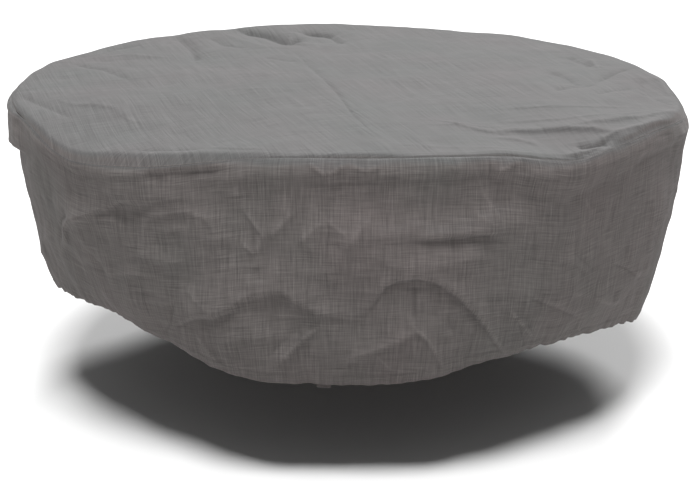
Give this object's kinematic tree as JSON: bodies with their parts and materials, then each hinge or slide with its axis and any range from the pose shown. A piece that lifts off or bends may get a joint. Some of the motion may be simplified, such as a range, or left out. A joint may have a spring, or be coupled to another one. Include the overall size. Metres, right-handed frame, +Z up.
{
  "type": "patio furniture cover",
  "caption": "Round fitted cloth cover for an outdoor dining set: a flat top over a skirt that a gathered hem draws in, hollow and open below.",
  "frame": {"origin": "middle of the top panel's underside, where the covered furniture holds the cover up", "axes": "+Z up; -Y is the front, where the tab shows; +X is to the right seen from the front"},
  "size_m": [2.0938, 2.0673, 0.6773],
  "materials": {
    "cover_cloth": "matt grey-taupe slub weave",
    "tab_cloth": "plain dark woven tape, blank"
  },
  "bodies": {
    "root": {"top_panel": "cover_cloth", "skirt": "cover_cloth", "hem_tab": "tab_cloth"}
  },
  "joints": []
}
